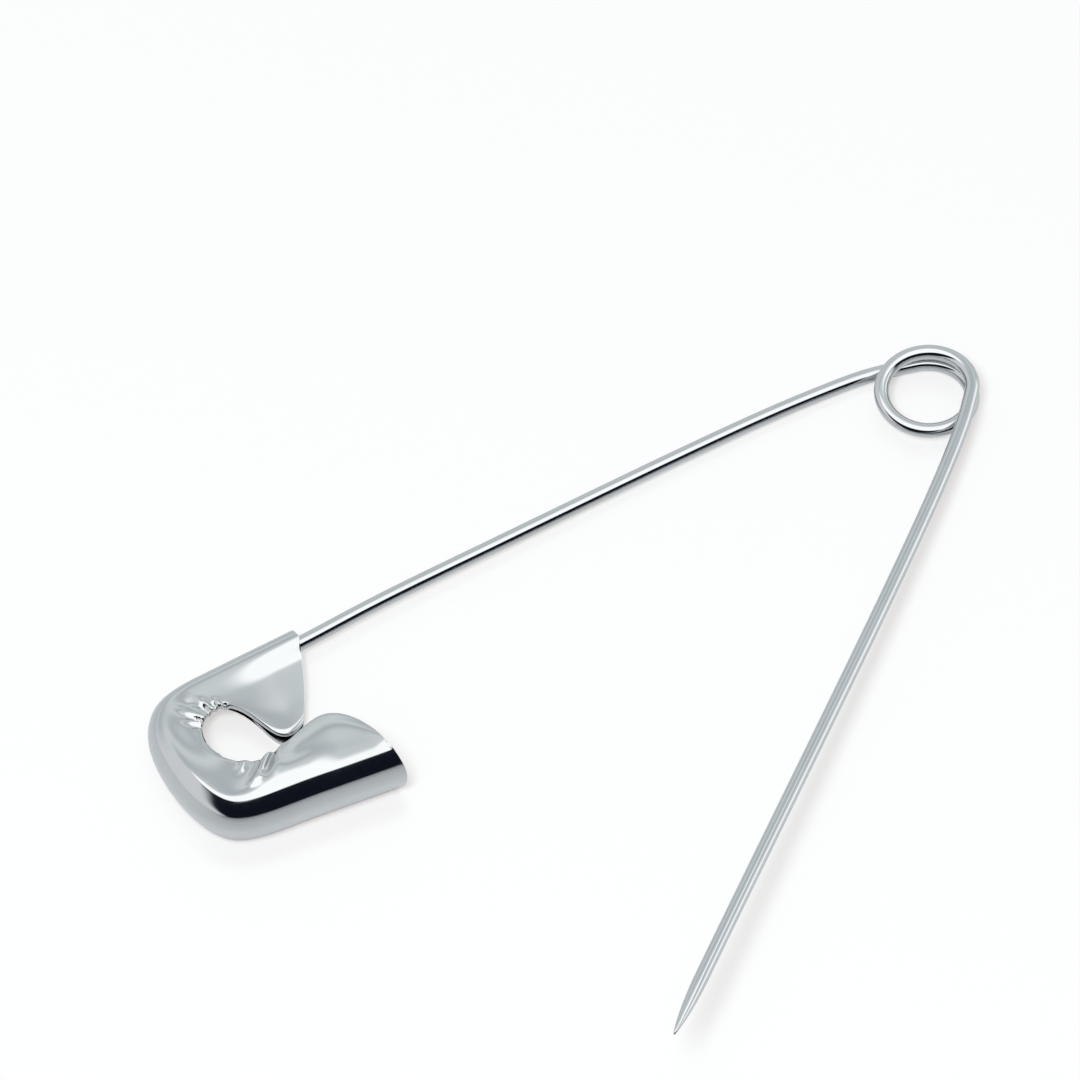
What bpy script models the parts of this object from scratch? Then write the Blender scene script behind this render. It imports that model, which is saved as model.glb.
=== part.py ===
"""Safety pin: one bent spring wire with a coil, and a folded sheet clasp.

The pin lies flat with its clasp's back on z = 0 and its needle sprung open.
+X runs from the clasp towards the coil, and the needle is on the -Y side.
Lengths are in metres.
"""
import math

import bpy
import numpy as np

# the whole pin
PIN_LENGTH = 0.07698
NEEDLE_REACH = 0.0714

# wire
WIRE_D = 0.0012
WIRE_R = WIRE_D / 2
WIRE_GAP = 0.0003
ARM_SIDES = 16

# coil, on the wire's centre line
COIL_D = 0.00736
COIL_R = COIL_D / 2
COIL_PITCH = 0.00179
COIL_SIDE_SHIFT = 0.0035
COIL_LEAST_GAP = 0.0004
COIL_SIDES = 8
COIL_POINTS_PER_TURN = 10
COIL_EASE_DEG = 40.0
COIL_POINTS_APART = 5
COIL_GAP_FINENESS = 20
NEEDLE_LEAVES_DEG = -36.8
ARM_LEAVES_DEG = 80.0
STRAIGHT_END = WIRE_D

# needle
NEEDLE_TIP_DEG = 227.2
NEEDLE_END_DEG = 223.5
NEEDLE_LIFT_DEG = 3.05
NEEDLE_NEAR_PULL_SHARE = 0.105
NEEDLE_FAR_PULL_SHARE = 0.392
NEEDLE_STATIONS = 26
POINT_LENGTH = 0.0065
POINT_TIP_D = 0.00014
POINT_STATIONS = 9
POINT_FULLNESS_POWER = 0.8

# fixed arm: shares of its length and of its bow
ARM_BOW = 0.00113
ARM_BOW_SHARES = (
    (0.036, 0.41),
    (0.100, 0.76),
    (0.166, 0.93),
    (0.297, 1.00),
    (0.497, 0.85),
    (0.700, 0.63),
    (0.900, 0.31),
)
ARM_PARTS_PER_SPAN = 3
ARM_BEAD_STATIONS = 4

# clasp sheet: a round bead on the fixed arm's side, and on the needle's side a
# channel whose wall bulges between two creases
CLASP_LENGTH = 0.0172
CLASP_WIDTH = 0.0176
CHANNEL_HEIGHT = 0.005
SHEET = 0.00035
BEAD_HEIGHT = WIRE_D + 2 * (WIRE_GAP + SHEET)
BEAD_HALF_DEG = 90.0
CHANNEL_HALF_DEG = 50.0
CLASP_LEFT_SHARE = 0.5346
FOLD_STEPS = 10
PLATE_STEPS = 6
PLAIN_PARTS = 4
RAMP_START_SHARE = 0.08
RAMP_LENGTH_SHARE = 0.42

# puckers pressed into the front plate where it turns its corners:
# first station, last station, number of folds
PUCKER_HEIGHT = 0.00022
PUCKER_PARTS = 8
PUCKER_START_SHARE = 0.25
PUCKERS = (
    (4, 6, 4),
    (8, 10, 3),
)

# fold x, fold y, free edge x, free edge y, as shares of the clasp's length and
# width from the origin, then the share of the way from the bead's section to
# the channel's, and the height of the front plate's free edge as a share
CLASP_STATION_SHARES = (
    (0.386, 0.2485, 0.223, -0.225, 0.0, 0.29),
    (0.238, 0.2345, 0.152, -0.267, 0.0, 0.32),
    (0.087, 0.2205, 0.073, -0.256, 0.0, 0.38),
    (-0.076, 0.2045, 0.009, -0.147, 0.0, 0.44),
    (-0.233, 0.1845, -0.056, -0.047, 0.0, 0.46),
    (-0.385, 0.117, -0.155, -0.030, 0.15, 0.48),
    (-0.500, -0.052, -0.257, -0.123, 0.5, 0.62),
    (-CLASP_LEFT_SHARE, -0.284, -0.294, -0.297, 0.85, 0.84),
    (-0.508, -0.504, -0.224, -0.426, 1.0, 0.95),
    (-0.408, -0.686, -0.110, -0.463, 1.0, 0.95),
    (-0.223, -0.7535, 0.017, -0.435, 1.0, 0.97),
    (-0.006, -0.7615, 0.148, -0.386, 1.0, 0.97),
    (0.174, -0.7675, 0.250, -0.366, 1.0, 0.97),
    (0.310, -0.7725, 0.345, -0.409, 1.0, 0.97),
    (0.412, -0.7765, 0.424, -0.523, 1.0, 0.97),
    (0.486, -0.7795, 0.468, -0.648, 1.0, 0.97),
)

COIL_X = PIN_LENGTH - CLASP_LEFT_SHARE * CLASP_LENGTH - COIL_R - WIRE_R
COIL_Y = COIL_SIDE_SHIFT


def clear_scene():
    """Remove every object that a new file starts with."""
    for obj in list(bpy.data.objects):
        bpy.data.objects.remove(obj, do_unlink=True)


def nickel(name, roughness):
    """Polished nickel plate over steel."""
    mat = bpy.data.materials.new(name)
    mat.use_nodes = True
    shader = mat.node_tree.nodes["Principled BSDF"]
    shader.inputs["Base Color"].default_value = (0.66, 0.67, 0.67, 1.0)
    shader.inputs["Metallic"].default_value = 1.0
    shader.inputs["Roughness"].default_value = roughness
    return mat


def add_object(name, points, faces, material, origin=(0.0, 0.0, 0.0)):
    """One named solid from points in the pin's frame, with its own origin."""
    mesh = bpy.data.meshes.new(name)
    local = np.array(points) - np.array(origin)
    mesh.from_pydata(local.tolist(), [], faces)
    mesh.validate()
    mesh.update()
    for face in mesh.polygons:
        face.use_smooth = True
    mesh.materials.append(material)
    obj = bpy.data.objects.new(name, mesh)
    obj.location = origin
    bpy.context.scene.collection.objects.link(obj)
    return obj


def unit(vector):
    """The direction of a vector."""
    return vector / np.linalg.norm(vector)


def through(points, parts):
    """A smooth path through points, with a number of parts in each span."""
    pts = np.array(points, float)
    ends = np.vstack([2 * pts[0] - pts[1], pts, 2 * pts[-1] - pts[-2]])
    out = []
    for i in range(len(pts) - 1):
        a, b, c, d = ends[i : i + 4]
        for k in range(parts[i]):
            t = k / parts[i]
            square = (2 * a - 5 * b + 4 * c - d) * t**2
            cube = (3 * b - a - 3 * c + d) * t**3
            out.append((2 * b + (c - a) * t + square + cube) / 2)
    out.append(pts[-1])
    return np.array(out)


def run_along(path):
    """How far along a path each of its points is."""
    steps = np.linalg.norm(np.diff(path, axis=0), axis=1)
    return np.concatenate([[0], np.cumsum(steps)])


def tangents(path, first=None, last=None):
    """The direction of a path at each point, with the end ones given if known."""
    out = np.gradient(path, run_along(path), axis=0)
    if first is not None:
        out[0] = first
    if last is not None:
        out[-1] = last
    return out / np.linalg.norm(out, axis=1)[:, None]


def sweep(path, radii, sides, first=None, last=None):
    """Points and faces of a round rod along a path, closed at both ends."""
    along = tangents(path, first, last)
    up = np.array([0.0, 0.0, 1.0])
    points = []
    for p, t, r in zip(path, along, radii):
        side = unit(np.cross(up, t))
        over = np.cross(t, side)
        for k in range(sides):
            a = 2 * math.pi * k / sides
            points.append(p + r * (math.cos(a) * side + math.sin(a) * over))
    faces = []
    for i in range(len(path) - 1):
        low = i * sides
        high = low + sides
        for k in range(sides):
            m = (k + 1) % sides
            faces.append((low + k, low + m, high + m, high + k))
    faces.append(tuple(reversed(range(sides))))
    end = (len(path) - 1) * sides
    faces.append(tuple(end + k for k in range(sides)))
    return points, faces


def coil_total():
    """How far the coil turns, in radians."""
    return math.radians(360 + ARM_LEAVES_DEG - NEEDLE_LEAVES_DEG)


def coil_point(turned):
    """The coil's centre line, turned radians on from where the needle leaves it."""
    ease = math.radians(COIL_EASE_DEG)
    dropped = turned
    over = turned - (coil_total() - ease)
    if over > 0:
        dropped -= over**2 / (2 * ease)
    left = coil_total() - ease / 2 - dropped
    angle = math.radians(NEEDLE_LEAVES_DEG) + turned
    return np.array(
        [
            COIL_X + COIL_R * math.cos(angle),
            COIL_Y + COIL_R * math.sin(angle),
            WIRE_R + COIL_PITCH * left / (2 * math.pi),
        ]
    )


def needle_heading():
    """The direction in which the needle leaves the coil."""
    flat = math.radians(NEEDLE_LEAVES_DEG - 90)
    lift = math.radians(NEEDLE_LIFT_DEG)
    level = math.cos(lift)
    return np.array([math.cos(flat) * level, math.sin(flat) * level, math.sin(lift)])


def arm_heading():
    """The direction in which the fixed arm leaves the coil."""
    flat = math.radians(ARM_LEAVES_DEG + 90)
    return np.array([math.cos(flat), math.sin(flat), 0.0])


def least_gap(path, apart):
    """The least gap between turns of the wire, from points at least apart steps away."""
    least = math.inf
    for i, p in enumerate(path):
        for q in path[i + apart :]:
            least = min(least, np.linalg.norm(p - q) - WIRE_D)
    return least


def build_coil():
    """The spring coil, one unbroken tube with a straight run at each end."""
    steps = math.ceil(coil_total() / (2 * math.pi) * COIL_POINTS_PER_TURN)
    turns = [coil_point(coil_total() * k / steps) for k in range(steps + 1)]
    first = turns[0] + needle_heading() * STRAIGHT_END
    last = turns[-1] + arm_heading() * STRAIGHT_END
    path = np.array([first] + turns + [last])
    smooth = [coil_point(a) for a in np.linspace(0, coil_total(), steps * COIL_GAP_FINENESS)]
    gap = min(
        least_gap(path, COIL_POINTS_APART),
        least_gap(smooth, COIL_POINTS_APART * COIL_GAP_FINENESS),
    )
    print(f"least gap in the coil {gap * 1000:.3f} mm, wanted {COIL_LEAST_GAP * 1000} mm")
    radii = [WIRE_R] * len(path)
    points, faces = sweep(path, radii, COIL_SIDES, -needle_heading(), arm_heading())
    material = nickel("coil_nickel", 0.16)
    return add_object("spring_coil", points, faces, material, (COIL_X, COIL_Y, 0.0))


def needle_start():
    """Where the needle's centre line begins, a gap on from the coil's straight end."""
    return coil_point(0.0) + needle_heading() * (STRAIGHT_END + WIRE_GAP)


def needle_flat():
    """The needle's centre line seen from above, and the wire's radius along it."""
    start = needle_start()[:2]
    turn = math.radians(NEEDLE_TIP_DEG)
    axis = np.array([COIL_X, COIL_Y])
    tip = axis + NEEDLE_REACH * np.array([math.cos(turn), math.sin(turn)])
    end = math.radians(NEEDLE_END_DEG)
    far = np.array([math.cos(end), math.sin(end)])
    shank_end = tip - far * POINT_LENGTH
    near_pull = start + unit(needle_heading()[:2]) * NEEDLE_REACH * NEEDLE_NEAR_PULL_SHARE
    far_pull = shank_end - far * NEEDLE_REACH * NEEDLE_FAR_PULL_SHARE
    flat = []
    for k in range(NEEDLE_STATIONS + 1):
        t = k / NEEDLE_STATIONS
        s = 1 - t
        pulled = 3 * s**2 * t * near_pull + 3 * s * t**2 * far_pull
        flat.append(s**3 * start + pulled + t**3 * shank_end)
    radii = [WIRE_R] * len(flat)
    tip_r = POINT_TIP_D / 2
    for k in range(1, POINT_STATIONS + 1):
        share = k / POINT_STATIONS
        flat.append(shank_end + far * POINT_LENGTH * share)
        thin = (1 - share**2) ** POINT_FULLNESS_POWER
        radii.append(tip_r + (WIRE_R - tip_r) * thin)
    return np.array(flat), radii


def build_needle():
    """The needle, slightly bowed, with a ground point."""
    flat, radii = needle_flat()
    height = needle_start()[2] + run_along(flat) * math.tan(math.radians(NEEDLE_LIFT_DEG))
    path = np.column_stack([flat, height])
    points, faces = sweep(path, radii, ARM_SIDES, needle_heading())
    pivot = coil_point(0.0) + needle_heading() * (STRAIGHT_END + WIRE_GAP / 2)
    print("coil axis", COIL_X, COIL_Y, "needle pivot", pivot.tolist())
    material = nickel("needle_nickel", 0.14)
    return add_object("needle_arm", points, faces, material, pivot.tolist())


def clasp_rows():
    """The clasp's stations, with more where the plate is puckered, and their numbers."""
    parts = [PLAIN_PARTS] * (len(CLASP_STATION_SHARES) - 1)
    for first, last, _ in PUCKERS:
        for i in range(first, last):
            parts[i] = PUCKER_PARTS
    rows = through(CLASP_STATION_SHARES, parts)
    rows[:, [0, 2]] *= CLASP_LENGTH
    rows[:, [1, 3]] *= CLASP_WIDTH
    numbers = [i + k / n for i, n in enumerate(parts) for k in range(n)]
    return rows, numbers + [len(parts)]


def inwards(folds):
    """The direction from the fold into the clasp at each station, seen from above."""
    along = tangents(folds)
    return np.column_stack([-along[:, 1], along[:, 0]])


def bead_way():
    """Where the wire runs inside the clasp's bead, seen from above."""
    rows, numbers = clasp_rows()
    centre = rows[:, :2] + inwards(rows[:, :2]) * BEAD_HEIGHT / 2
    return [c for c, n in zip(centre, numbers) if n == int(n) and n < ARM_BEAD_STATIONS]


def build_fixed_arm():
    """The fixed arm, from the coil to its end inside the clasp's bead."""
    start = coil_point(coil_total()) + arm_heading() * (STRAIGHT_END + WIRE_GAP)
    bead = bead_way()
    chord = bead[0] - start[:2]
    outwards = unit(np.array([chord[1], -chord[0]]))
    way = [start[:2]]
    for share, bow in ARM_BOW_SHARES:
        way.append(start[:2] + chord * share + outwards * ARM_BOW * bow)
    mouth = len(way)
    way += bead
    flat = through(way, [ARM_PARTS_PER_SPAN] * (len(way) - 1))
    run = run_along(flat)
    share = np.minimum(run / run[mouth * ARM_PARTS_PER_SPAN], 1)
    height = WIRE_R + (BEAD_HEIGHT / 2 - WIRE_R) * share
    path = np.column_stack([flat, height])
    points, faces = sweep(path, [WIRE_R] * len(path), ARM_SIDES, arm_heading())
    return add_object("fixed_arm", points, faces, nickel("arm_nickel", 0.16))


def smooth_step(t):
    """0 up to 0, 1 from 1 on, and an even curve between them."""
    s = min(max(t, 0), 1)
    return s * s * (3 - 2 * s)


def pucker(number, t):
    """How far the front plate is puckered at a station and a share of its depth."""
    for first, last, folds in PUCKERS:
        if first < number < last:
            way = (number - first) / (last - first)
            wave = math.sin(2 * math.pi * folds * way)
            fade = math.sin(math.pi * way)
            rise = smooth_step((t - PUCKER_START_SHARE) / (1 - PUCKER_START_SHARE))
            return PUCKER_HEIGHT * wave * fade * rise
    return 0.0


def clasp_section(number, fold, inward, edge, height, half, top):
    """Outer and inner points of the sheet at one station, from front to back edge.

    The fold's wall is an arc of half angle half on each side of its middle.
    """
    middle = height / 2
    wall_r = middle / math.sin(half)
    centre = fold + inward * wall_r
    layers = []
    for depth in (0.0, SHEET):
        r = wall_r - depth
        spread = math.asin(min((middle - depth) / r, 1))
        crease = centre - inward * r * math.cos(spread)
        points = []
        for k in range(PLATE_STEPS):
            t = 1 - k / PLATE_STEPS
            climbed = smooth_step((t - RAMP_START_SHARE) / RAMP_LENGTH_SHARE)
            z = height + (top - height) * climbed + pucker(number, t) - depth
            points.append((*(crease + (edge - crease) * t), z))
        for k in range(FOLD_STEPS + 1):
            a = spread * (1 - 2 * k / FOLD_STEPS)
            at = centre - inward * r * math.cos(a)
            points.append((*at, middle + r * math.sin(a)))
        for k in range(1, PLATE_STEPS + 1):
            points.append((*(crease + (edge - crease) * k / PLATE_STEPS), depth))
        layers.append(points)
    return layers


def sheet_faces(count, wide):
    """Faces of a sheet whose stations each hold wide outer, then wide inner points."""

    def at(i, j, inside):
        return (2 * i + inside) * wide + j

    faces = []
    for i in range(count - 1):
        for j in range(wide - 1):
            faces.append((at(i, j, 0), at(i, j + 1, 0), at(i + 1, j + 1, 0), at(i + 1, j, 0)))
            faces.append((at(i, j, 1), at(i + 1, j, 1), at(i + 1, j + 1, 1), at(i, j + 1, 1)))
        j = wide - 1
        faces.append((at(i, 0, 0), at(i + 1, 0, 0), at(i + 1, 0, 1), at(i, 0, 1)))
        faces.append((at(i, j, 1), at(i + 1, j, 1), at(i + 1, j, 0), at(i, j, 0)))
    i = count - 1
    for j in range(wide - 1):
        faces.append((at(0, j, 0), at(0, j, 1), at(0, j + 1, 1), at(0, j + 1, 0)))
        faces.append((at(i, j, 0), at(i, j + 1, 0), at(i, j + 1, 1), at(i, j, 1)))
    return faces


def build_clasp():
    """The clasp: one sheet folded round its rim, a bead one side, a channel the other."""
    rows, numbers = clasp_rows()
    points = []
    for row, number, inward in zip(rows, numbers, inwards(rows[:, :2])):
        share = min(max(row[4], 0), 1)
        height = BEAD_HEIGHT + (CHANNEL_HEIGHT - BEAD_HEIGHT) * share
        half = math.radians(BEAD_HALF_DEG + (CHANNEL_HALF_DEG - BEAD_HALF_DEG) * share)
        top = CHANNEL_HEIGHT * row[5]
        layers = clasp_section(number, row[:2], inward, row[2:4], height, half, top)
        points += layers[0] + layers[1]
    faces = sheet_faces(len(rows), len(layers[0]))
    return add_object("clasp", points, faces, nickel("clasp_nickel", 0.2))


clear_scene()
build_coil()
build_needle()
build_fixed_arm()
build_clasp()
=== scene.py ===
"""The safety pin's looks: bright nickel wire and a folded nickel clasp, in a light tent.

Every length is in metres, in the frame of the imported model: the clasp's back is
on z = 0, +X runs from the clasp towards the coil, and the needle is on the -Y side.
"""
import math

import bmesh
import bpy
import numpy as np
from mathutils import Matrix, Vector


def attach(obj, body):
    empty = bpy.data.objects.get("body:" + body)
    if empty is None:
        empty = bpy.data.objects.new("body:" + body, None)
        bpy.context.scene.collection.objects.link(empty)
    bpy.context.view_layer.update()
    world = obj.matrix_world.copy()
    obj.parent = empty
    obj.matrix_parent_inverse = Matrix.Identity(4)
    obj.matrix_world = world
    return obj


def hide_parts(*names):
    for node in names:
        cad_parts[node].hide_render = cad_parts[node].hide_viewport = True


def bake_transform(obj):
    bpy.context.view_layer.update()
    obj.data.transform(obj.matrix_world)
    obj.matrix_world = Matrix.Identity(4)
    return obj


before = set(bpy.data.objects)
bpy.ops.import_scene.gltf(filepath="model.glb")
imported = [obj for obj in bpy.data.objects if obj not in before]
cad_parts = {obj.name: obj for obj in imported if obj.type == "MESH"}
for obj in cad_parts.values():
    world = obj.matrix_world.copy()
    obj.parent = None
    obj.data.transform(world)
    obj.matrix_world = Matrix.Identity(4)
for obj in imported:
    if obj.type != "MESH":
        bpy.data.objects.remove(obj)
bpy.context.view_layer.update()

# the whole pin
PIN_LENGTH = 0.07698
NEEDLE_REACH = 0.0714

# wire
WIRE_R = 0.0006
WIRE_GAP = 0.0003
WIRE_SIDES = 36

# coil, on the wire's centre line
COIL_R = 0.00368
COIL_PITCH = 0.00155
COIL_EASE_DEG = 40.0
COIL_STEP_DEG = 9.0
NEEDLE_LEAVES_DEG = -36.8
ARM_LEAVES_DEG = 80.0
TAIL_FROM_DEG = 10.0
STRAIGHT_END = 0.0012

# needle: its curve seen from above, its rise, and its bow with the way that it leans
NEEDLE_TIP_DEG = 227.2
NEEDLE_END_DEG = 223.5
NEEDLE_LIFT_DEG = 3.33
NEEDLE_BOW = 0.00034
NEEDLE_BOW_LEAN = (-0.331, -0.677)
NEEDLE_NEAR_PULL_SHARE = 0.105
NEEDLE_FAR_PULL_SHARE = 0.392
NEEDLE_STATIONS = 26
POINT_LENGTH = 0.0065
POINT_TIP_R = 0.00007
POINT_STATIONS = 12
POINT_FULLNESS_POWER = 0.8

# fixed arm: shares of its chord and of its bow
ARM_BOW = 0.00113
ARM_BOW_SHARES = (
    (0.036, 0.41),
    (0.100, 0.76),
    (0.166, 0.93),
    (0.297, 1.00),
    (0.497, 0.85),
    (0.700, 0.63),
    (0.900, 0.31),
)
ARM_BEAD_STATIONS = 4

# the steps between the wire's rings, where it is nearly straight and in the coil
WIRE_STEP = 0.0003
COIL_FINE_STEP = 0.00015

# clasp sheet
CLASP_LENGTH = 0.0172
CLASP_WIDTH = 0.0176
CHANNEL_HEIGHT = 0.005
SHEET = 0.00035
BEAD_HEIGHT = 2 * (WIRE_R + WIRE_GAP + SHEET)
CLASP_LEFT_SHARE = 0.5346
ROWS_PER_SPAN = 18
FRONT_STEPS = 44
FRONT_STEP_POWER = 1.4
WALL_STEPS = 26
CREASE_STEPS = 8
BACK_STEPS = 14

# the channel's crest is higher than its wall's plain height, from one station on and
# fully so a few stations later
CREST_RISE = 0.0004
CREST_FROM = 8
CREST_OVER = 2.5

# the wall's bulge as a share of half its height, its steeper flank above and below,
# and the share of half its height where the creases begin
WALL_BULGE_SHARE = 0.42
FLANK_RATE = 0.35
FLANK_FROM = 0.5
FLANK_OVER = 0.25
CREASE_FROM_SHARE = 0.93

# how far the front plate's steeper first part runs, by station, and how much of the
# fall from the crease to the free edge it takes
RAMP_LENGTHS = (
    (0.0, 0.0018),
    (1.0, 0.0018),
    (2.4, 0.0021),
    (4.8, 0.0017),
    (9.0, 0.0030),
)
STEEP_SHARES = (
    (0.0, 0.60),
    (1.0, 0.54),
    (2.4, 0.36),
    (4.8, 0.50),
    (7.0, 0.80),
)

# how steeply the rest of the fall starts, where 1 is even
TAIL_START_RATE = 1.8

# the soft shoulder between the plate and its crease, by station
SHOULDERS = (
    (0.0, 0.0003),
    (8.5, 0.0003),
    (10.0, 0.0005),
    (15.0, 0.0005),
)
SHOULDER_SHARE = 0.6

# how far the plate still rises beyond its crease, by station, over what length, and
# from which share of its depth it falls again
LIFTS = (
    (8.0, 0.0),
    (9.5, 0.00004),
    (10.6, 0.00031),
    (11.2, 0.00030),
    (12.2, 0.00014),
    (13.4, 0.00014),
    (15.0, 0.00034),
)
LIFT_LENGTH = 0.0016
LIFT_ENDS_SHARE = 0.35

# the front plate's rolled rim, and the bevel on the sheet's cut edges
ROLL_LENGTH = 0.00045
ROLL_DEPTH = 0.00014
RIM_BEVEL = 0.00012
RIM_SEGMENTS = 3
CUT_EDGE_DEG = 70

# fold x, fold y, free edge x, free edge y, as shares of the clasp's length and
# width from the origin, then the share of the way from the bead's section to
# the channel's, and the height of the front plate's free edge as a share
CLASP_STATION_SHARES = (
    (0.386, 0.2485, 0.223, -0.225, 0.0, 0.29),
    (0.238, 0.2345, 0.152, -0.267, 0.0, 0.32),
    (0.087, 0.2205, 0.073, -0.256, 0.0, 0.38),
    (-0.076, 0.2045, 0.009, -0.147, 0.0, 0.44),
    (-0.233, 0.1845, -0.056, -0.047, 0.0, 0.46),
    (-0.385, 0.117, -0.155, -0.030, 0.15, 0.48),
    (-0.500, -0.052, -0.257, -0.123, 0.5, 0.62),
    (-CLASP_LEFT_SHARE, -0.284, -0.294, -0.297, 0.85, 0.84),
    (-0.508, -0.504, -0.224, -0.426, 1.0, 0.95),
    (-0.408, -0.686, -0.110, -0.463, 1.0, 0.95),
    (-0.223, -0.7535, 0.017, -0.435, 1.0, 0.97),
    (-0.006, -0.7615, 0.148, -0.386, 1.0, 0.97),
    (0.174, -0.7675, 0.250, -0.366, 1.0, 0.97),
    (0.310, -0.7725, 0.345, -0.409, 1.0, 0.97),
    (0.412, -0.7765, 0.424, -0.523, 1.0, 0.97),
    (0.486, -0.7795, 0.474, -0.690, 1.0, 0.97),
)

# puckers that fan out from the throat's hole, up to one station: the direction from
# its middle in degrees, how wide in degrees, how high, and how far they reach from the
# free edge, with the share of that way over which they fade
HOLE_MIDDLE = (-0.00175, -0.00366)
FANNED_TO = 8
FANNED_FADE_SHARE = 0.7
FANNED_PUCKERS = (
    (78, 3.5, 0.00006, 0.0010),
    (85, 3.2, -0.00022, 0.0013),
    (93, 3.8, 0.00022, 0.0026),
    (100, 3.0, -0.00016, 0.0015),
    (106, 3.6, 0.00024, 0.0032),
    (113, 3.2, -0.00030, 0.0018),
    (120, 3.6, 0.00020, 0.0026),
    (129, 4.8, 0.00032, 0.0036),
    (136, 3.2, -0.00022, 0.0018),
    (143, 4.2, 0.00028, 0.0022),
    (151, 4.2, -0.00014, 0.0012),
)

# puckers along the plate's depth: station, how wide in stations, how high, and the
# shares of the depth where each begins and is full
PUCKERS = (
    (8.00, 0.12, -0.00006, 0.50, 1.0),
    (8.30, 0.14, 0.00017, 0.40, 0.85),
    (8.60, 0.11, -0.00012, 0.40, 0.9),
    (8.92, 0.15, -0.00016, 0.10, 0.6),
    (9.22, 0.23, 0.00042, 0.0, 0.35),
    (9.54, 0.14, -0.00018, 0.10, 0.5),
    (9.88, 0.18, 0.00016, 0.05, 0.5),
    (10.30, 0.20, -0.00008, 0.20, 0.7),
)

# how many stations these puckers drift by on the way to the crease
PUCKER_DRIFT = 0.6

# shallow swells in the front plate: station, how wide in stations, share of the
# plate's depth, how wide as a share, and how high
SWELLS = (
    (10.1, 0.40, 0.34, 0.16, 0.00008),
    (11.0, 0.50, 0.42, 0.14, -0.00006),
    (12.4, 1.30, 0.64, 0.26, 0.00031),
    (1.5, 1.20, 0.75, 0.18, -0.00003),
)

# where the clasp opens: how far the channel's end is cut back at its upper and its
# lower crease, after the last station but one, and how far the flap's end bows out
MOUTH_CUT = 0.0007
MOUTH_CUT_BELOW = 0.0003
MOUTH_FROM = 14
MOUTH_BOW = 0.00028

# how far the edges move for each length that the front plate stands higher, and which
# way, then the stations between which the back plate's edge is set back: where it
# starts, over how many it grows, where it ends and over how many it fades
BACK_PULL_SHARE = 0.754
BACK_PULL_WAY = (0.439, 0.898)
BACK_PULL_FROM = 1.2
BACK_PULL_GROWS = 2.8
BACK_PULL_TO = 7.3
BACK_PULL_FADES = 1.2

# camera
VIEW_AZIMUTH = (-0.439, -0.898)
VIEW_ELEVATION_DEG = 53.0
VIEW_TARGET = (0.0288, 0.0038, 0.0016)
VIEW_WIDTH = 0.08724
LENS_MM = 1600.0
SENSOR_MM = 36.0
CLIP_START = 0.1
CLIP_END = 50.0

# nickel plate: its colour, the roughness of the wire and of the sheet with how fine and
# how deep their marks are, then the cloudiness and the marks' pattern that both share
NICKEL_COLOUR = (0.66, 0.67, 0.67)
WIRE_MARKS = (0.07, 900.0, 0.000004)
SHEET_MARKS = (0.09, 700.0, 0.000005)
CLOUD_SCALE = 260.0
CLOUD_DETAIL = 4.0
CLOUD_RANGE = (0.3, 0.7)
CLOUD_SHADE = 0.96
MARK_DETAIL = 6.0
MARK_ROUGHNESS = 0.7
MARK_STRETCH = (0.15, 1.0, 1.0)
MARK_TURN_DEG = 12
MARK_RANGE = (0.3, 0.75)
ROUGHNESS_SHARES = (0.7, 1.5)
MARK_BUMP = 0.35

# the surround's light, on the pin and where it is seen
SURROUND_LIGHT = 0.36
SURROUND_SEEN = 1.0

# the soft lamp
LAMP_PLACE = (-0.52, -0.57, 1.40)
LAMP_SIZE = 0.5
LAMP_WATTS = 19.0

# the floor: its reach and drop, its paint, its glow and its satin sheen
FLOOR_REACH = 9.0
FLOOR_DROP = 0.00002
FLOOR_PAINT = (0.62, 0.665, 0.70)
FLOOR_GLOW_COLOUR = (1.0, 0.956, 0.922)
FLOOR_GLOW = 1.74
FLOOR_GLOW_SHARE = 0.36
FLOOR_OFF_METAL = 0.25
FLOOR_IOR = 2.0
FLOOR_SHEEN_ROUGHNESS = 0.3

# the light dome round the pin, and its colours
DOME_R = 4.0
DOME_SIDES = 64
DOME_RINGS = 32
DOME_GREY_LOW = (0.60, 0.65, 0.68)
DOME_GREY_HIGH = (0.82, 0.88, 0.90)
DOME_BLACK = (0.0066, 0.009, 0.0165)
DOME_LEFT = (0.84, 0.86, 0.90)
DOME_WHITE = (1.46, 1.48, 1.5)
DOME_LOW_WHITE = (1.36, 1.38, 1.4)

# where the dome's parts start and end, in degrees up from the floor, or round from the
# needle's side with + to the right
DOME_HIGH_DEG = (44.0, 50.0)
DOME_FRONT_DEG = (-42.0, -22.0)
DOME_FRONT_LEAN = 1.45
DOME_RIGHT_DEG = (74.0, 88.0)
DOME_BEHIND_LEFT_DEG = (-150.0, -110.0)
DOME_STRIP_FROM_DEG = (84.0, 96.0)
DOME_STRIP_TO_DEG = (125.0, 140.0)
DOME_STRIP_TOP_DEG = (17.0, 23.0)

# the overhead box and its wing, on the dome seen from above: how much each counts to
# the right, and where it starts
DOME_BOX_SLANT = 2.0
DOME_BOX_EDGE = (-0.25, 0.35)
DOME_WING_SLANT = -0.3
DOME_WING_EDGE = (-0.36, -0.2)
DOME_WING_LEFT = (-0.95, -0.8)

# the grey's slow wave with height
DOME_WAVE_RATE = 12.5
DOME_WAVE_START = -10.0

# the coil's middle, and how far the wire winds round it
COIL_X = PIN_LENGTH - CLASP_LEFT_SHARE * CLASP_LENGTH - COIL_R - WIRE_R
COIL_Y = 0.0035
COIL_AXIS = np.array([COIL_X, COIL_Y])
COIL_TOTAL = math.radians(360 + ARM_LEAVES_DEG - NEEDLE_LEAVES_DEG)


def unit(vector):
    """The direction of a vector."""
    return vector / np.linalg.norm(vector)


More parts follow.
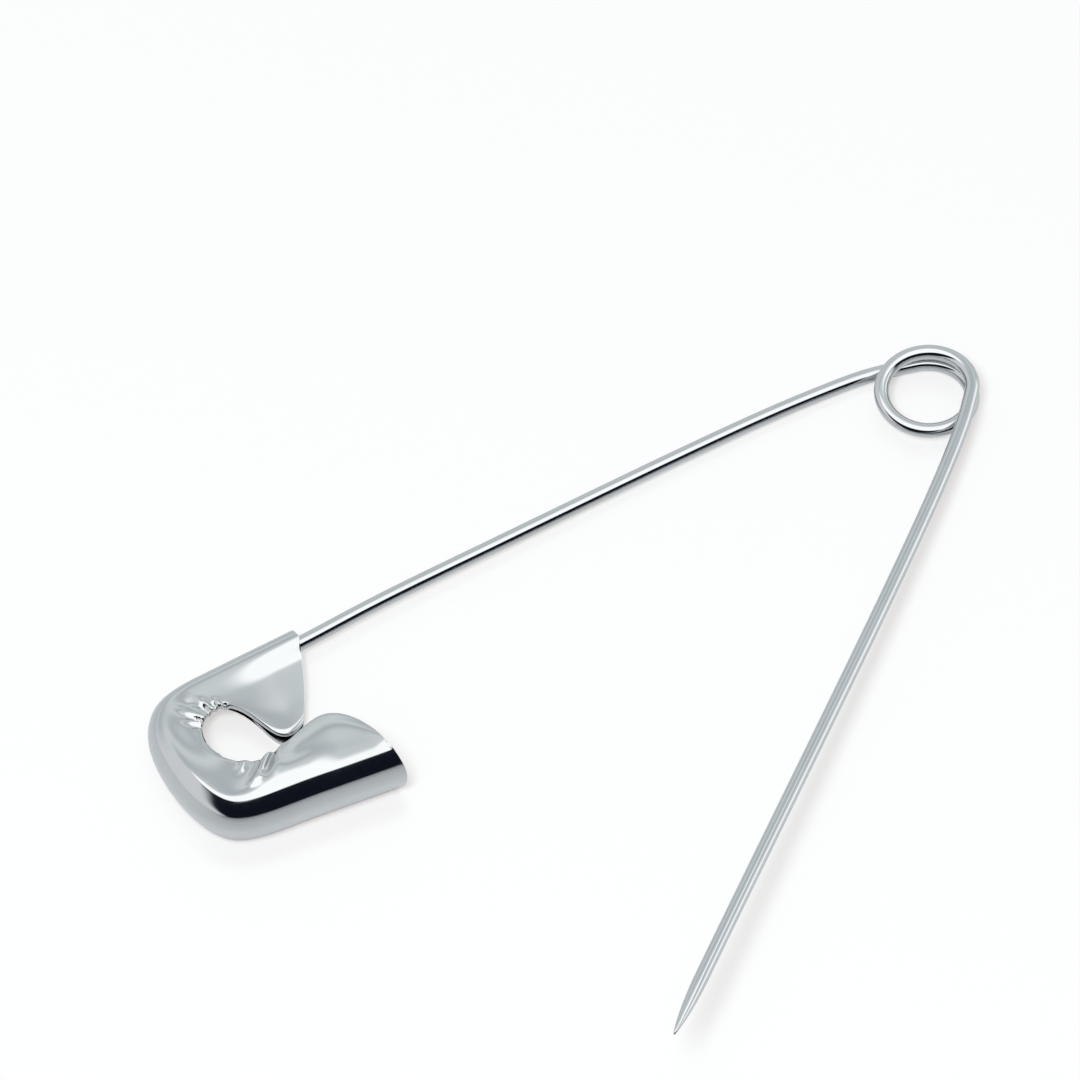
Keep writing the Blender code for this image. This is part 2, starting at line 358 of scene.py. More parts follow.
def bend_rates(at, values):
    """Second derivatives of the natural cubic spline through values."""
    count = len(at)
    step = np.diff(at)
    slope = np.diff(values, axis=0) / step[:, None]
    matrix = np.eye(count)
    right = np.zeros(values.shape)
    for i in range(1, count - 1):
        matrix[i, i - 1 : i + 2] = step[i - 1], 2 * (step[i - 1] + step[i]), step[i]
        right[i] = 6 * (slope[i] - slope[i - 1])
    return np.linalg.solve(matrix, right)


def spline(at, values, wanted):
    """The natural cubic spline through values, at the wanted places."""
    at = np.asarray(at, float)
    values = np.asarray(values, float)
    wanted = np.asarray(wanted, float)
    rate = bend_rates(at, values)
    i = np.clip(np.searchsorted(at, wanted, side="right") - 1, 0, len(at) - 2)
    step = (at[i + 1] - at[i])[:, None]
    b = (wanted - at[i])[:, None] / step
    a = 1 - b
    curve = (a**3 - a) * rate[i] + (b**3 - b) * rate[i + 1]
    return a * values[i] + b * values[i + 1] + curve * step**2 / 6


def run_along(path):
    """How far along a path each of its points is."""
    steps = np.linalg.norm(np.diff(path, axis=0), axis=1)
    return np.concatenate([[0], np.cumsum(steps)])


def tangents(path):
    """The direction of a path at each of its points."""
    out = np.gradient(path, run_along(path), axis=0)
    return out / np.linalg.norm(out, axis=1)[:, None]


def coil_point(turned):
    """The coil's centre line, turned radians on from where the needle leaves it."""
    ease = math.radians(COIL_EASE_DEG)
    dropped = turned
    over = turned - (COIL_TOTAL - ease)
    if over > 0:
        dropped -= over**2 / (2 * ease)
    left = COIL_TOTAL - ease / 2 - dropped
    angle = math.radians(NEEDLE_LEAVES_DEG) + turned
    x = COIL_X + COIL_R * math.cos(angle)
    y = COIL_Y + COIL_R * math.sin(angle)
    return np.array([x, y, WIRE_R + COIL_PITCH * left / (2 * math.pi)])


def needle_heading():
    """The direction in which the needle leaves the coil."""
    flat = math.radians(NEEDLE_LEAVES_DEG - 90)
    lift = math.radians(NEEDLE_LIFT_DEG)
    level = math.cos(lift)
    return np.array([math.cos(flat) * level, math.sin(flat) * level, math.sin(lift)])


def arm_heading():
    """The direction in which the fixed arm leaves the coil."""
    flat = math.radians(ARM_LEAVES_DEG + 90)
    return np.array([math.cos(flat), math.sin(flat), 0.0])


def needle_way():
    """The needle's centre line from the coil to its point."""
    start = coil_point(0.0) + needle_heading() * (STRAIGHT_END + WIRE_GAP)
    turn = math.radians(NEEDLE_TIP_DEG)
    tip = COIL_AXIS + NEEDLE_REACH * np.array([math.cos(turn), math.sin(turn)])
    end = math.radians(NEEDLE_END_DEG)
    far = np.array([math.cos(end), math.sin(end)])
    shank_end = tip - far * POINT_LENGTH
    near_pull = start[:2] + unit(needle_heading()[:2]) * NEEDLE_REACH * NEEDLE_NEAR_PULL_SHARE
    far_pull = shank_end - far * NEEDLE_REACH * NEEDLE_FAR_PULL_SHARE
    flat = []
    for k in range(NEEDLE_STATIONS + 1):
        t = k / NEEDLE_STATIONS
        s = 1 - t
        pulled = 3 * s**2 * t * near_pull + 3 * s * t**2 * far_pull
        flat.append(s**3 * start[:2] + pulled + t**3 * shank_end)
    for k in range(1, POINT_STATIONS + 1):
        flat.append(shank_end + far * POINT_LENGTH * k / POINT_STATIONS)
    flat = np.array(flat)
    run = run_along(flat)
    bow = NEEDLE_BOW * np.sin(math.pi * (run / run[-1]) ** 2)
    height = start[2] + run * math.tan(math.radians(NEEDLE_LIFT_DEG)) + bow
    return np.column_stack([flat + bow[:, None] * np.array(NEEDLE_BOW_LEAN), height])


def clasp_rows(per_span):
    """The clasp's stations at an even number of rows in each span, and their numbers."""
    shares = np.array(CLASP_STATION_SHARES)
    count = len(shares) - 1
    numbers = np.linspace(0, count, count * per_span + 1)
    rows = spline(np.arange(count + 1), shares, numbers)
    rows[:, [0, 2]] *= CLASP_LENGTH
    rows[:, [1, 3]] *= CLASP_WIDTH
    return rows, numbers


def inwards(folds):
    """The direction from the fold into the clasp at each station, seen from above."""
    along = tangents(folds)
    return np.column_stack([-along[:, 1], along[:, 0]])


def bead_way():
    """Where the wire runs inside the clasp's bead, seen from above."""
    rows, _ = clasp_rows(ROWS_PER_SPAN)
    centre = rows[:, :2] + inwards(rows[:, :2]) * BEAD_HEIGHT / 2
    return centre[: ROWS_PER_SPAN * ARM_BEAD_STATIONS : ROWS_PER_SPAN]


def arm_way():
    """The fixed arm's centre line from the coil to its end in the bead."""
    start = coil_point(COIL_TOTAL) + arm_heading() * (STRAIGHT_END + WIRE_GAP)
    bead = bead_way()
    chord = bead[0] - start[:2]
    outwards = unit(np.array([chord[1], -chord[0]]))
    way = [start[:2]]
    for share, bow in ARM_BOW_SHARES:
        way.append(start[:2] + chord * share + outwards * ARM_BOW * bow)
    mouth = len(way)
    flat = np.array(way + list(bead))
    run = run_along(flat)
    share = np.minimum(run / run[mouth], 1)
    height = WIRE_R + (BEAD_HEIGHT / 2 - WIRE_R) * share
    return np.column_stack([flat, height])


def wire_way():
    """The whole wire from the needle's point to the end in the bead.

    Returns its centre line, and where the coil, its tail and the fixed arm begin.
    """
    needle = needle_way()[::-1]
    count = round(math.degrees(COIL_TOTAL) / COIL_STEP_DEG)
    turns = np.array([coil_point(COIL_TOTAL * k / count) for k in range(count + 1)])
    knots = np.vstack([needle, turns, arm_way()])
    at = run_along(knots)
    coil_at = at[len(needle)]
    arm_at = at[len(needle) + count]
    tail_turn = math.radians(360 + TAIL_FROM_DEG - NEEDLE_LEAVES_DEG)
    tail_at = coil_at + (arm_at - coil_at) * tail_turn / COIL_TOTAL
    pieces = (
        np.arange(0, coil_at, WIRE_STEP),
        np.arange(coil_at, tail_at, COIL_FINE_STEP),
        np.arange(tail_at, arm_at, COIL_FINE_STEP),
        np.arange(arm_at, at[-1], WIRE_STEP),
        [at[-1]],
    )
    breaks = np.cumsum([len(p) for p in pieces])
    wanted = np.concatenate(pieces)
    return spline(at, knots, wanted), wanted, breaks


def wire_radii(run):
    """The wire's radius along it: full, but for the ground point."""
    share = np.clip(1 - run / POINT_LENGTH, 0, 1)
    return POINT_TIP_R + (WIRE_R - POINT_TIP_R) * (1 - share**2) ** POINT_FULLNESS_POWER


def wire_rings(path, radii):
    """Rings of points round a centre line."""
    along = tangents(path)
    side = np.cross([0.0, 0.0, 1.0], along)
    side /= np.linalg.norm(side, axis=1)[:, None]
    over = np.cross(along, side)
    turn = np.linspace(0, 2 * math.pi, WIRE_SIDES, endpoint=False)[None, :, None]
    round_way = side[:, None] * np.cos(turn) + over[:, None] * np.sin(turn)
    return path[:, None] + round_way * radii[:, None, None]


def add_piece(name, points, faces, material):
    """A smooth mesh piece with its material and material slot."""
    mesh = bpy.data.meshes.new(name)
    mesh.from_pydata([tuple(p) for p in points], [], faces)
    mesh.validate()
    mesh.shade_smooth()
    mesh.materials.append(material)
    obj = bpy.data.objects.new(name, mesh)
    bpy.context.scene.collection.objects.link(obj)
    return obj


def add_wire(name, rings, material, cap_first=False, cap_last=False):
    """A tube through rings, capped where the wire really ends."""
    count, sides, _ = rings.shape
    faces = []
    for i in range(count - 1):
        low = i * sides
        for k in range(sides):
            m = (k + 1) % sides
            faces.append((low + k, low + m, low + sides + m, low + sides + k))
    if cap_first:
        faces.append(tuple(reversed(range(sides))))
    if cap_last:
        faces.append(tuple((count - 1) * sides + k for k in range(sides)))
    return add_piece(name, rings.reshape(-1, 3), faces, material)


def eased(t):
    """0 up to 0, 1 from 1 on, and a curve of even bend between them."""
    s = np.clip(t, 0, 1)
    return s**3 * (s * (s * 6 - 15) + 10)


def stepped(t):
    """0 up to 0, 1 from 1 on, and an even curve between them."""
    s = np.clip(t, 0, 1)
    return s * s * (3 - 2 * s)


def fanned(flat, from_edge):
    """How far the puckers round the hole press the front plate up or down."""
    away = flat - np.array(HOLE_MIDDLE)
    turn = math.degrees(math.atan2(away[1], away[0]))
    rise = 0.0
    for middle, wide, high, reach in FANNED_PUCKERS:
        across = math.exp(-(((turn - middle) / wide) ** 2))
        rise += high * across * stepped((1 - from_edge / reach) / FANNED_FADE_SHARE)
    return rise


def puckers(number, t):
    """How far the front plate is pressed up or down at a station and depth."""
    rise = 0.0
    for station, wide, high, begins, full in PUCKERS:
        across = math.exp(-(((number - PUCKER_DRIFT * (1 - t) - station) / wide) ** 2))
        rise += high * across * eased((t - begins) / (full - begins))
    for station, wide, depth, broad, high in SWELLS:
        away = ((number - station) / wide) ** 2 + ((t - depth) / broad) ** 2
        rise += high * math.exp(-away)
    return rise


def at_station(table, number):
    """A table's value at a station, level at its rows and smooth between them."""
    for (start, first), (end, last) in zip(table, table[1:]):
        if number <= end:
            return float(first + (last - first) * stepped((number - start) / (end - start)))
    return table[-1][1]


def front_height(number, t, deep, height, top):
    """The front plate's outer height from its crease, t = 0, to its free edge.

    It slopes from the crease's height to the edge's, and its rim is rolled down.
    """
    ramp = min(at_station(RAMP_LENGTHS, number), deep)
    run = t * deep / ramp
    steep = at_station(STEEP_SHARES, number)
    tail = t * (TAIL_START_RATE + (1 - TAIL_START_RATE) * t)
    climbed = steep * stepped(run) + (1 - steep) * tail
    sloped = height + (top - height) * climbed
    lift = at_station(LIFTS, number)
    short = 1 - min(t * deep / LIFT_LENGTH, 1)
    fallen = stepped((t - LIFT_ENDS_SHARE) / (1 - LIFT_ENDS_SHARE))
    sloped += lift * (1 - short * short - fallen)
    rolled = np.clip(1 - (1 - t) * deep / ROLL_LENGTH, 0, 1)
    return sloped + puckers(number, t) - ROLL_DEPTH * rolled**2


def mouth_change(number, inward, high, t):
    """How far a point is moved near the clasp's mouth.

    high runs from -1 at the wall's lower crease to 1 at its upper one, and t from
    0 at the upper crease to 1 at the front plate's free edge.
    """
    along = np.array([inward[1], -inward[0]])
    cut = MOUTH_CUT * max(high, 0) ** 2 + MOUTH_CUT_BELOW * max(-high, 0) ** 2
    bow = MOUTH_BOW * 4 * t * (1 - t) * (1 - eased(number))
    return -along * (cut * eased(number - MOUTH_FROM) + bow)


def wall_profile(share, middle):
    """The wall's outer outline from its upper crease down to its lower one.

    Each point is how far it is inwards from the fold, how high it is and the
    direction that faces out of the wall. share runs from the bead to the channel.
    """

    def wall(f):
        round_in = middle * (1 - math.sqrt(1 - f * f))
        bulge_in = WALL_BULGE_SHARE * middle * f * f
        round_rate = f / math.sqrt(1 - f * f)
        bulge_rate = 2 * WALL_BULGE_SHARE * f
        u = min(max((f - FLANK_FROM) / FLANK_OVER, 0), 1)
        leant = FLANK_OVER * (u**3 - u**4 / 2) + max(f - FLANK_FROM - FLANK_OVER, 0)
        bulge_in += FLANK_RATE * middle * leant
        bulge_rate += FLANK_RATE * stepped(u)
        place = round_in * (1 - share) + bulge_in * share
        return place, middle * (1 + f), round_rate * (1 - share) + bulge_rate * share

    out = []
    for f in np.linspace(CREASE_FROM_SHARE, -CREASE_FROM_SHARE, WALL_STEPS):
        x, z, rate = wall(f)
        size = math.hypot(1, rate)
        out.append((x, z, -1 / size, rate / size))
    return out


def crease_profile(wall_end, height, shoulder, rate=0.0):
    """The outline of a crease, from the plate to where the wall begins.

    rate is how steeply the plate still rises beyond the crease.
    """
    x, z, out_x, out_z = wall_end
    corner = x + out_z / -out_x * (height - z)
    points = []
    for k in range(CREASE_STEPS):
        s = k / CREASE_STEPS
        a, b, c = (1 - s) ** 2, 2 * s * (1 - s), s * s
        at_x = a * (corner + shoulder) + b * corner + c * x
        at_z = a * (height + shoulder * rate) + b * height + c * z
        run = 2 * (1 - s) * -shoulder + 2 * s * (x - corner)
        fall = 2 * (1 - s) * -shoulder * rate + 2 * s * (z - height)
        size = math.hypot(run, fall)
        points.append((at_x, at_z, fall / size, -run / size))
    return points, corner + shoulder


def back_edge(number, edge, top):
    """The back plate's free edge, set back where the front plate's hangs over it."""
    share = stepped((number - BACK_PULL_FROM) / BACK_PULL_GROWS)
    share *= 1 - stepped((number - BACK_PULL_TO) / BACK_PULL_FADES)
    return edge + np.array(BACK_PULL_WAY) * BACK_PULL_SHARE * share * (top - SHEET)


def clasp_layer(number, row, inward, depth):
    """One face of the sheet at a station, from the front edge to the back edge."""
    share = min(max(row[4], 0), 1)
    rise = CREST_RISE * stepped((number - CREST_FROM) / CREST_OVER)
    height = BEAD_HEIGHT + (CHANNEL_HEIGHT + rise - BEAD_HEIGHT) * share
    middle = height / 2
    top = CHANNEL_HEIGHT * row[5] + rise
    edge = row[2:4] - np.array(BACK_PULL_WAY) * BACK_PULL_SHARE * rise
    wall = wall_profile(share, middle)
    room = np.dot(edge - row[:2], inward) - wall[0][0]
    shoulder = min(at_station(SHOULDERS, number), room * SHOULDER_SHARE)
    rate = 2 * at_station(LIFTS, number) / LIFT_LENGTH
    upper, plate_from = crease_profile(wall[0], height, shoulder, rate)
    lower, back_from = crease_profile(wall[0], height, SHOULDERS[0][1])
    lower = [(x, height - z, out_x, -out_z) for x, z, out_x, out_z in reversed(lower)]
    at_crease = row[:2] + inward * plate_from
    at_back = row[:2] + inward * back_from
    deep = np.linalg.norm(edge - at_crease)
    points = []

    def add(flat, z, t=0.0):
        high = min(max((z - middle) / (middle - depth), -1), 1)
        points.append((*(flat + mouth_change(number, inward, high, t)), z))

    for t in 1 - np.linspace(0, 1, FRONT_STEPS, endpoint=False) ** FRONT_STEP_POWER:
        flat = at_crease + (edge - at_crease) * t
        z = front_height(number, t, deep, height + shoulder * rate, top) - depth
        if number < FANNED_TO:
            z += fanned(flat, (1 - t) * deep)
        add(flat, float(z), t)
    for x, z, out_x, out_z in upper + wall + lower:
        add(row[:2] + inward * (x - out_x * depth), z - out_z * depth)
    below = back_edge(number, edge, top)
    for t in np.linspace(0, 1, BACK_STEPS + 1)[1:]:
        add(at_back + (below - at_back) * t, depth)
    return points


def sheet_faces(count, wide):
    """Faces of a sheet whose stations each hold wide outer, then wide inner points."""

    def at(i, j, inside):
        return (2 * i + inside) * wide + j

    faces = []
    for i in range(count - 1):
        for j in range(wide - 1):
            faces.append((at(i, j, 0), at(i, j + 1, 0), at(i + 1, j + 1, 0), at(i + 1, j, 0)))
            faces.append((at(i, j, 1), at(i + 1, j, 1), at(i + 1, j + 1, 1), at(i, j + 1, 1)))
        j = wide - 1
        faces.append((at(i, 0, 0), at(i + 1, 0, 0), at(i + 1, 0, 1), at(i, 0, 1)))
        faces.append((at(i, j, 1), at(i + 1, j, 1), at(i + 1, j, 0), at(i, j, 0)))
    i = count - 1
    for j in range(wide - 1):
        faces.append((at(0, j, 0), at(0, j, 1), at(0, j + 1, 1), at(0, j + 1, 0)))
        faces.append((at(i, j, 0), at(i, j + 1, 0), at(i, j + 1, 1), at(i, j, 1)))
    return faces


def round_rim(obj):
    """Round the sheet's cut edges with a small bevel."""
    bm = bmesh.new()
    bm.from_mesh(obj.data)
    weight = bm.edges.layers.float.new("bevel_weight_edge")
    cut_angle = math.radians(CUT_EDGE_DEG)
    for edge in bm.edges:
        if len(edge.link_faces) == 2 and edge.calc_face_angle() > cut_angle:
            edge[weight] = 1.0
    bm.to_mesh(obj.data)
    bm.free()
    bevel = obj.modifiers.new("rim", "BEVEL")
    bevel.limit_method = "WEIGHT"
    bevel.width = RIM_BEVEL
    bevel.segments = RIM_SEGMENTS


def build_clasp(material):
    """The clasp: one sheet folded round its rim, a bead one side, a channel the other."""
    rows, numbers = clasp_rows(ROWS_PER_SPAN)
    points = []
    for row, number, inward in zip(rows, numbers, inwards(rows[:, :2])):
        outer = clasp_layer(number, row, inward, 0.0)
        points += outer + clasp_layer(number, row, inward, SHEET)
    obj = add_piece("clasp_sheet", points, sheet_faces(len(rows), len(outer)), material)
    round_rim(obj)
    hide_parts("clasp")
    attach(obj, "frame")


def build_wire(material):
    """The wire: needle, coil, the coil's springy tail and the fixed arm, end to end."""
    path, run, breaks = wire_way()
    rings = wire_rings(path, wire_radii(run))
    needle_end, turn_end, tail_end, _, _ = breaks
    needle = add_wire("needle", rings[: needle_end + 1], material, cap_first=True)
    turn = add_wire("coil_turn", rings[needle_end : turn_end + 1], material)
    tail = add_wire("coil_tail", rings[turn_end : tail_end + 1], material)
    arm = add_wire("arm", rings[tail_end:], material, cap_last=True)
    heading = needle_heading()
    pivot = coil_point(0.0) + heading * (STRAIGHT_END + WIRE_GAP / 2)
    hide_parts("needle_arm")
    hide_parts("spring_coil")
    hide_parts("spring_coil")
    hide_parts("fixed_arm")
    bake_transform(needle)
    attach(turn, "coil")
    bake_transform(tail)
    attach(arm, "frame")


def nickel(name, roughness, mark_scale, mark_depth):
    """Bright nickel plate with fine handling marks and faint cloudiness."""
    mat = bpy.data.materials.new(name)
    mat.use_nodes = True
    nodes = mat.node_tree.nodes
    links = mat.node_tree.links
    shader = nodes["Principled BSDF"]
    shader.inputs["Metallic"].default_value = 1.0
    coord = nodes.new("ShaderNodeTexCoord")
    cloud = nodes.new("ShaderNodeTexNoise")
    cloud.inputs["Scale"].default_value = CLOUD_SCALE
    cloud.inputs["Detail"].default_value = CLOUD_DETAIL
    links.new(coord.outputs["Object"], cloud.inputs["Vector"])
    tint = nodes.new("ShaderNodeValToRGB")
    shade, plain = tint.color_ramp.elements
    shade.position, plain.position = CLOUD_RANGE
    shade.color = (*[c * CLOUD_SHADE for c in NICKEL_COLOUR], 1.0)
    plain.color = (*NICKEL_COLOUR, 1.0)
    links.new(cloud.outputs["Fac"], tint.inputs["Fac"])
    links.new(tint.outputs["Color"], shader.inputs["Base Color"])
    marks = nodes.new("ShaderNodeTexNoise")
    marks.inputs["Scale"].default_value = mark_scale
    marks.inputs["Detail"].default_value = MARK_DETAIL
    marks.inputs["Roughness"].default_value = MARK_ROUGHNESS
    stretch = nodes.new("ShaderNodeMapping")
    stretch.inputs["Scale"].default_value = MARK_STRETCH
    stretch.inputs["Rotation"].default_value = (0.0, 0.0, math.radians(MARK_TURN_DEG))
    links.new(coord.outputs["Object"], stretch.inputs["Vector"])
    links.new(stretch.outputs["Vector"], marks.inputs["Vector"])
    rough = nodes.new("ShaderNodeMapRange")
    rough.inputs["From Min"].default_value = MARK_RANGE[0]
    rough.inputs["From Max"].default_value = MARK_RANGE[1]
    rough.inputs["To Min"].default_value = roughness * ROUGHNESS_SHARES[0]
    rough.inputs["To Max"].default_value = roughness * ROUGHNESS_SHARES[1]
    links.new(marks.outputs["Fac"], rough.inputs["Value"])
    links.new(rough.outputs["Result"], shader.inputs["Roughness"])
    bump = nodes.new("ShaderNodeBump")
    bump.inputs["Strength"].default_value = MARK_BUMP
    bump.inputs["Distance"].default_value = mark_depth
    links.new(marks.outputs["Fac"], bump.inputs["Height"])
    links.new(bump.outputs["Normal"], shader.inputs["Normal"])
    return mat


def seen_white(tree, off_metal=1.0):
    """1 for rays that show a background: from the camera and through glass.

    off_metal is the share of it that metal shows.
    """
    path = tree.nodes.new("ShaderNodeLightPath")
    in_metal = arithmetic(tree, "MULTIPLY", path.outputs["Is Glossy Ray"], off_metal)
    seen = arithmetic(tree, "MAXIMUM", path.outputs["Is Camera Ray"], in_metal)
    return arithmetic(tree, "MAXIMUM", seen, path.outputs["Is Transmission Ray"])


def build_floor():
    """A plain white floor that keeps the pin's soft shadow."""
    mesh = bpy.data.meshes.new("floor")
    signs = ((-1, -1), (1, -1), (1, 1), (-1, 1))
    corners = [(x * FLOOR_REACH, y * FLOOR_REACH, 0) for x, y in signs]
    mesh.from_pydata(corners, [], [(0, 1, 2, 3)])
    floor = bpy.data.objects.new("floor", mesh)
    floor.location.z = -FLOOR_DROP
    bpy.context.scene.collection.objects.link(floor)
    mat = bpy.data.materials.new("floor_white")
    mat.use_nodes = True
    tree = mat.node_tree
    tree.nodes.remove(tree.nodes["Principled BSDF"])
    paint = tree.nodes.new("ShaderNodeBsdfDiffuse")
    paint.inputs["Color"].default_value = (*FLOOR_PAINT, 1.0)
    white = tree.nodes.new("ShaderNodeEmission")
    white.inputs["Color"].default_value = (*FLOOR_GLOW_COLOUR, 1.0)
    white.inputs["Strength"].default_value = FLOOR_GLOW
    share = arithmetic(tree, "MULTIPLY", seen_white(tree, FLOOR_OFF_METAL), FLOOR_GLOW_SHARE)
    mix = tree.nodes.new("ShaderNodeMixShader")
    tree.links.new(share, mix.inputs[0])
    tree.links.new(paint.outputs[0], mix.inputs[1])
    tree.links.new(white.outputs[0], mix.inputs[2])
    sheen = tree.nodes.new("ShaderNodeBsdfAnisotropic")
    sheen.inputs["Roughness"].default_value = FLOOR_SHEEN_ROUGHNESS
    fresnel = tree.nodes.new("ShaderNodeFresnel")
    fresnel.inputs["IOR"].default_value = FLOOR_IOR
    coat = tree.nodes.new("ShaderNodeMixShader")
    tree.links.new(fresnel.outputs[0], coat.inputs[0])
    tree.links.new(mix.outputs[0], coat.inputs[1])
    tree.links.new(sheen.outputs[0], coat.inputs[2])
    tree.links.new(coat.outputs[0], tree.nodes["Material Output"].inputs["Surface"])
    mesh.materials.append(mat)


def only_in_reflections(obj):
    """A staged thing that bright metal reflects, and that neither shows nor shades."""
    obj.visible_camera = False
    obj.visible_diffuse = False
    obj.visible_shadow = False


def sum_along(tree, place, weights):
    """A place's distance along a direction."""
    dot = tree.nodes.new("ShaderNodeVectorMath")
    dot.operation = "DOT_PRODUCT"
    dot.inputs[1].default_value = tuple(weights)
    tree.links.new(place, dot.inputs[0])
    return dot.outputs["Value"]


def step_up(tree, value, start, end):
    """0 where a value is under start, 1 over end and smooth between them."""
    step = tree.nodes.new("ShaderNodeMapRange")
    step.interpolation_type = "SMOOTHSTEP"
    step.inputs["From Min"].default_value = start
    step.inputs["From Max"].default_value = end
    tree.links.new(value, step.inputs["Value"])
    return step.outputs["Result"]


def arithmetic(tree, operation, *terms):
    """The result of a sum on sockets and plain numbers."""
    node = tree.nodes.new("ShaderNodeMath")
    node.operation = operation
    for socket, term in zip(node.inputs, terms):
        if isinstance(term, float):
            socket.default_value = term
        else:
            tree.links.new(term, socket)
    return node.outputs[0]


def lay_over(tree, under, colour, share):
    """A colour laid over another by a share."""
    mix = tree.nodes.new("ShaderNodeMix")
    mix.data_type = "RGBA"
    mix.clamp_result = False
    tree.links.new(share, mix.inputs["Factor"])
    if isinstance(under, tuple):
        mix.inputs["A"].default_value = (*under, 1.0)
    else:
        tree.links.new(under, mix.inputs["A"])
    mix.inputs["B"].default_value = (*colour, 1.0)
    return mix.outputs["Result"]


def opposite(tree, value):
    """What a share leaves of the whole."""
    return arithmetic(tree, "SUBTRACT", 1.0, value)


def both(tree, one, other):
    """Where two shares overlap."""
    return arithmetic(tree, "MULTIPLY", one, other)


def past_turn(tree, turn, degrees):
    """0 before a turn round the dome, 1 beyond it and smooth between."""
    return step_up(tree, turn, *map(math.radians, degrees))


def past_height(tree, up, degrees):
    """0 under a height on the dome, 1 above it and smooth between."""
    return step_up(tree, up, *(math.sin(math.radians(d)) for d in degrees))


def dome_colour(tree, place, towards, right):
    """The dome's colour: a white box overhead on the right, dark below it, else grey."""
    near = sum_along(tree, place, towards)
    side = sum_along(tree, place, right)
    up = sum_along(tree, place, (0.0, 0.0, 1.0))
    turn = arithmetic(tree, "ARCTAN2", side, near)
    high = past_height(tree, up, DOME_HIGH_DEG)
    low = opposite(tree, high)

    boxed = arithmetic(tree, "MULTIPLY_ADD", side, DOME_BOX_SLANT, near)
    sweep = arithmetic(tree, "MULTIPLY_ADD", side, DOME_WING_SLANT, near)
    wing = step_up(tree, sweep, *DOME_WING_EDGE)
    wing = both(tree, wing, step_up(tree, side, *DOME_WING_LEFT))
    box = arithmetic(tree, "MAXIMUM", wing, step_up(tree, boxed, *DOME_BOX_EDGE))
    box = both(tree, high, box)

    leaning = arithmetic(tree, "MULTIPLY_ADD", up, DOME_FRONT_LEAN, turn)
    front = past_turn(tree, leaning, DOME_FRONT_DEG)
    not_right = opposite(tree, past_turn(tree, turn, DOME_RIGHT_DEG))
    dark = both(tree, low, both(tree, front, not_right))
    left = both(tree, low, past_turn(tree, turn, DOME_BEHIND_LEFT_DEG))
    left = both(tree, left, not_right)

    aside = past_turn(tree, turn, DOME_STRIP_FROM_DEG)
    aside = both(tree, aside, opposite(tree, past_turn(tree, turn, DOME_STRIP_TO_DEG)))
    strip = both(tree, opposite(tree, past_height(tree, up, DOME_STRIP_TOP_DEG)), aside)

    wave = arithmetic(tree, "MULTIPLY_ADD", up, DOME_WAVE_RATE, DOME_WAVE_START)
    wave = arithmetic(tree, "MULTIPLY_ADD", arithmetic(tree, "SINE", wave), 0.5, 0.5)
    colour = lay_over(tree, DOME_GREY_LOW, DOME_GREY_HIGH, wave)
    colour = lay_over(tree, colour, DOME_LEFT, left)
    colour = lay_over(tree, colour, DOME_LOW_WHITE, strip)
    colour = lay_over(tree, colour, DOME_BLACK, dark)
    return lay_over(tree, colour, DOME_WHITE, box)


def dome_material(towards, right):
    """The dome's glow, which depends only on the direction from its middle."""
    mat = bpy.data.materials.new("dome_light")
    mat.use_nodes = True
    tree = mat.node_tree
    tree.nodes.remove(tree.nodes["Principled BSDF"])
    coord = tree.nodes.new("ShaderNodeTexCoord")
    place = tree.nodes.new("ShaderNodeVectorMath")
    place.operation = "NORMALIZE"
    tree.links.new(coord.outputs["Object"], place.inputs[0])
    glow = tree.nodes.new("ShaderNodeEmission")
    colour = dome_colour(tree, place.outputs["Vector"], towards, right)
    tree.links.new(colour, glow.inputs["Color"])
    tree.links.new(glow.outputs[0], tree.nodes["Material Output"].inputs["Surface"])
    return mat


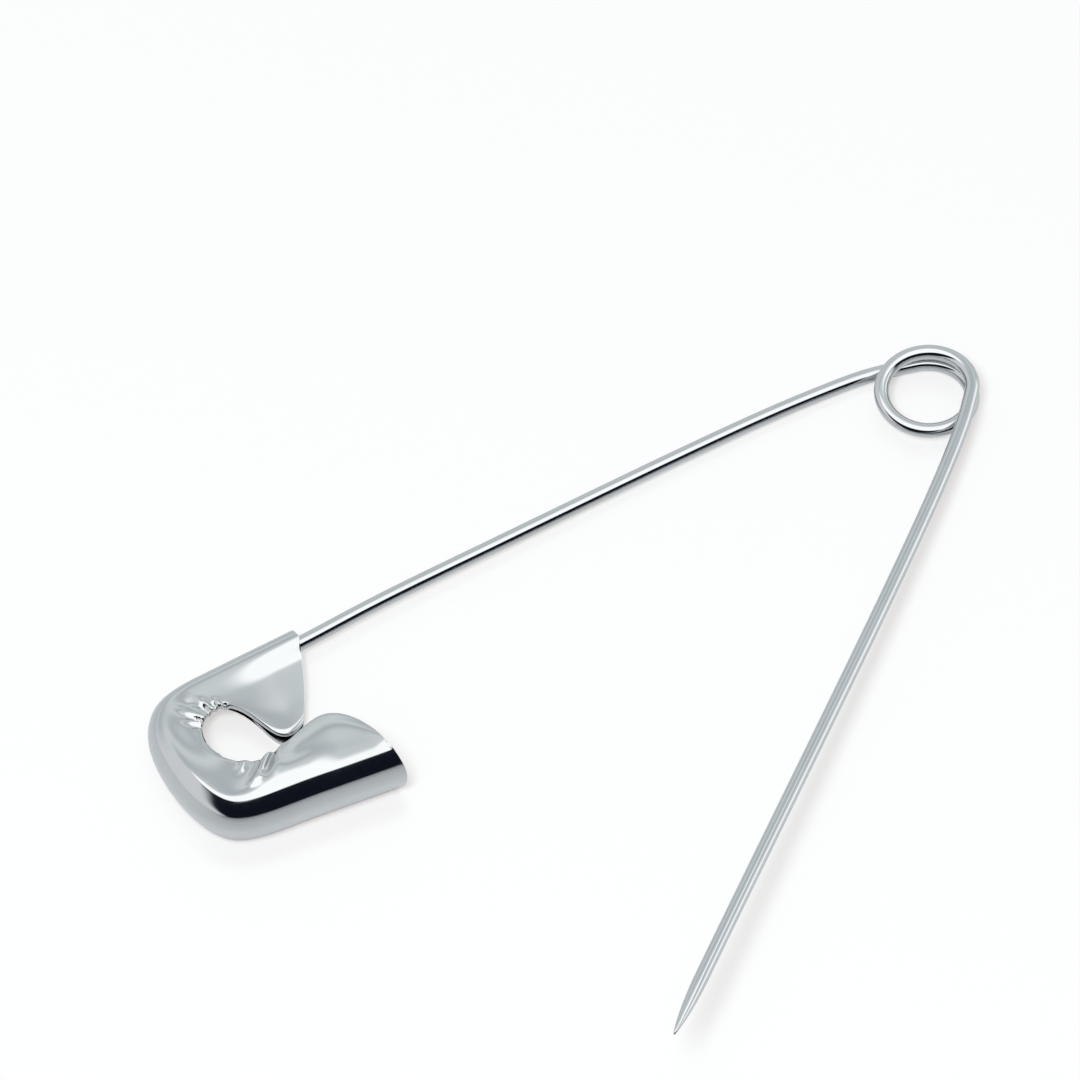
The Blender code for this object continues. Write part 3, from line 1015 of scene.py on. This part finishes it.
def build_dome():
    """A dome of light and dark that only the metal sees."""
    towards = unit(np.array([VIEW_AZIMUTH[0], VIEW_AZIMUTH[1], 0.0]))
    right = np.array([-towards[1], towards[0], 0.0])
    mesh = bpy.data.meshes.new("dome")
    bm = bmesh.new()
    bmesh.ops.create_uvsphere(bm, u_segments=DOME_SIDES, v_segments=DOME_RINGS, radius=DOME_R)
    bm.to_mesh(mesh)
    bm.free()
    dome = bpy.data.objects.new("dome", mesh)
    dome.location = (VIEW_TARGET[0], VIEW_TARGET[1], 0.0)
    bpy.context.scene.collection.objects.link(dome)
    mesh.materials.append(dome_material(towards, right))
    only_in_reflections(dome)


def build_world():
    """A plain white surround, dimmer as a light than where it is seen."""
    world = bpy.data.worlds.new("surround")
    bpy.context.scene.world = world
    world.use_nodes = True
    tree = world.node_tree
    back = tree.nodes["Background"]
    back.inputs["Color"].default_value = (1.0, 1.0, 1.0, 1.0)
    level = tree.nodes.new("ShaderNodeMapRange")
    level.inputs["To Min"].default_value = SURROUND_LIGHT
    level.inputs["To Max"].default_value = SURROUND_SEEN
    tree.links.new(seen_white(tree), level.inputs["Value"])
    tree.links.new(level.outputs["Result"], back.inputs["Strength"])


def build_lamp():
    """One soft lamp, high on the left, for the shadows."""
    data = bpy.data.lights.new("soft_lamp", "AREA")
    data.shape = "DISK"
    data.size = LAMP_SIZE
    data.energy = LAMP_WATTS
    lamp = bpy.data.objects.new("soft_lamp", data)
    lamp.location = LAMP_PLACE
    target = Vector(VIEW_TARGET)
    lamp.rotation_euler = (target - lamp.location).to_track_quat("-Z", "Y").to_euler()
    lamp.visible_glossy = False
    bpy.context.scene.collection.objects.link(lamp)


def build_camera():
    """A long lens that looks down on the pin from its needle side."""
    data = bpy.data.cameras.new("view")
    data.lens = LENS_MM
    data.sensor_width = SENSOR_MM
    data.clip_start = CLIP_START
    data.clip_end = CLIP_END
    up = math.radians(VIEW_ELEVATION_DEG)
    flat = Vector((*VIEW_AZIMUTH, 0.0)).normalized() * math.cos(up)
    towards = Vector((flat.x, flat.y, math.sin(up)))
    camera = bpy.data.objects.new("view", data)
    camera.location = Vector(VIEW_TARGET) + towards * VIEW_WIDTH * LENS_MM / SENSOR_MM
    camera.rotation_euler = (-towards).to_track_quat("-Z", "Y").to_euler()
    bpy.context.scene.collection.objects.link(camera)
    bpy.context.scene.camera = camera


build_camera()
build_wire(nickel("wire_nickel", *WIRE_MARKS))
build_clasp(nickel("clasp_nickel_fine", *SHEET_MARKS))
build_floor()
build_dome()
build_world()
build_lamp()
bpy.context.scene.view_settings.view_transform = "Standard"
